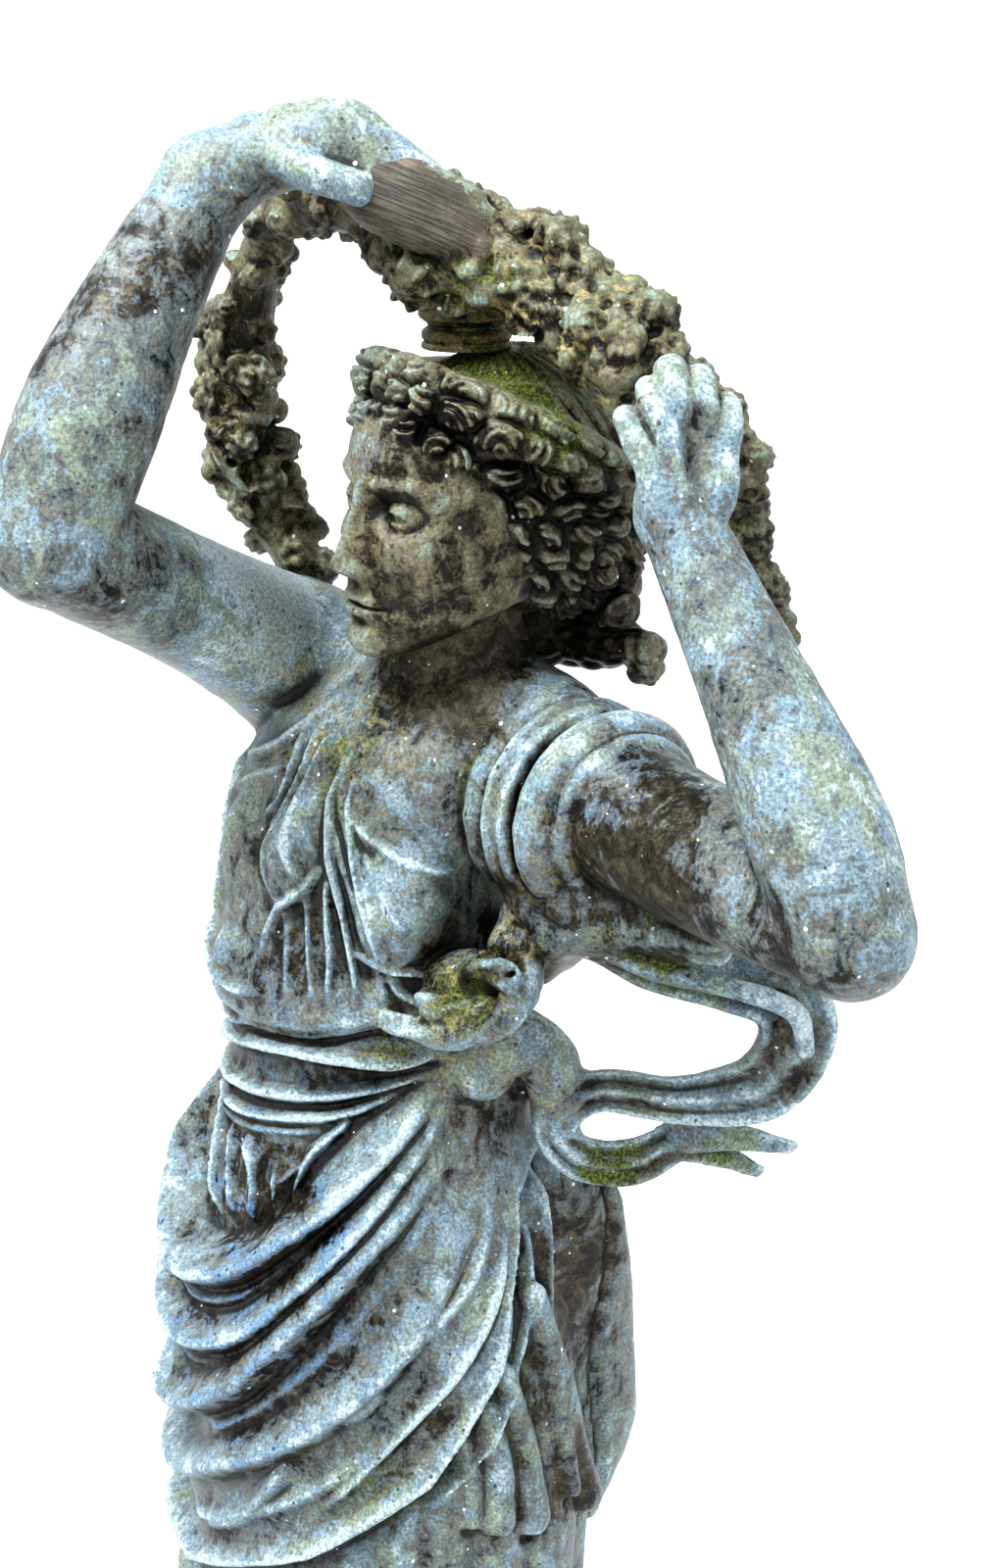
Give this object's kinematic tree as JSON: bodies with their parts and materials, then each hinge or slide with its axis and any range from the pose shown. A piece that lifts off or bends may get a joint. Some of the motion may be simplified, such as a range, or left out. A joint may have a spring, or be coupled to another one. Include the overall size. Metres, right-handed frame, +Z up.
{
  "type": "goddess statue",
  "caption": "Standing bronze goddess in pinned dress and mantle lifting a flower garland over her head, on a low round moulded plinth.",
  "frame": {"origin": "middle of the plinth's underside", "axes": "+Z up along the figure, +X to the figure's left, +Y to its back"},
  "size_m": [0.6889, 0.49, 1.6949],
  "materials": {
    "figure_bronze": "weathered cast bronze, pale blue-grey verdigris on the high places, dark brown hollows, moss in the folds",
    "garland_bronze": "weathered cast bronze, dark olive and brown with ochre crusts and moss",
    "collar_bronze": "brown turned bronze with ochre crusts",
    "plinth_bronze": "weathered cast bronze, grey-green"
  },
  "bodies": {
    "root": {"figure": "figure_bronze", "garland": "garland_bronze", "collar": "collar_bronze", "plinth": "plinth_bronze"}
  },
  "joints": []
}
